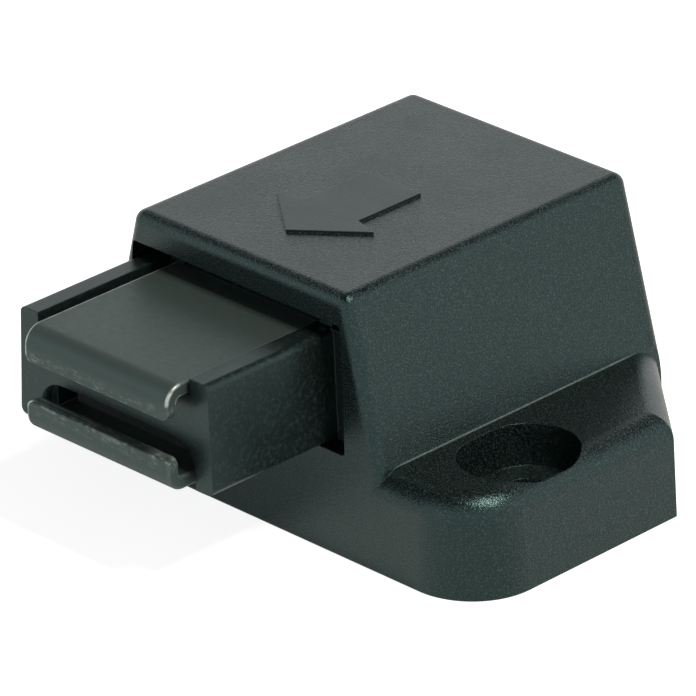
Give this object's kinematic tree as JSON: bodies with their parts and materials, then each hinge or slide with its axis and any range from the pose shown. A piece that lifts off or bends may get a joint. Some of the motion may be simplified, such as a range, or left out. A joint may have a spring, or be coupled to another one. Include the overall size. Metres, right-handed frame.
{
  "type": "push to open catch",
  "caption": "Surface-mounted push to open catch: a box on a slotted flange, with a sprung plunger that carries a magnet between two steel pole plates.",
  "frame": {"origin": "on the mounting plane, midway between the two screw slots", "axes": "+X from one screw slot to the other, +Y into the cabinet so that the plunger points to -Y, +Z away from the mounting plane"},
  "size_m": [0.0452, 0.0412, 0.0202],
  "materials": {
    "housing_plastic": "dark grey moulded plastic with a fine spark-eroded grain",
    "plunger_plastic": "dark grey moulded plastic, smoother than the housing",
    "pole_steel": "dark satin plated sheet steel with bright worn edges",
    "magnet_ferrite": "dull ground hard ferrite",
    "spring_steel": "drawn spring wire and strip"
  },
  "bodies": {
    "housing_body": {"housing": "housing_plastic", "base_plate": "housing_plastic", "plunger_spring": "spring_steel", "follower_spring": "spring_steel"},
    "plunger_body": {"plunger": "plunger_plastic", "upper_pole_plate": "pole_steel", "lower_pole_plate": "pole_steel", "magnet": "magnet_ferrite"},
    "follower_body": {"cam_follower": "spring_steel"}
  },
  "joints": [
    {"name": "plunger_slide", "type": "slide", "parent": "housing_body", "child": "plunger_body", "axis": [0, 1, 0], "range_m": [0, 0.009], "stiffness_N_per_m": 250, "springref_m": -0.0066, "deforming": ["plunger_spring"]},
    {"name": "follower_swing", "type": "hinge", "parent": "housing_body", "child": "follower_body", "pos_m": [0, 0.01665, 0.003], "axis": [0, 0, 1], "range_deg": [0, 9.7]}
  ],
  "couplings": [
    {"joint": "follower_swing", "follows": "plunger_slide", "rad_per_m": 18.763}
  ]
}
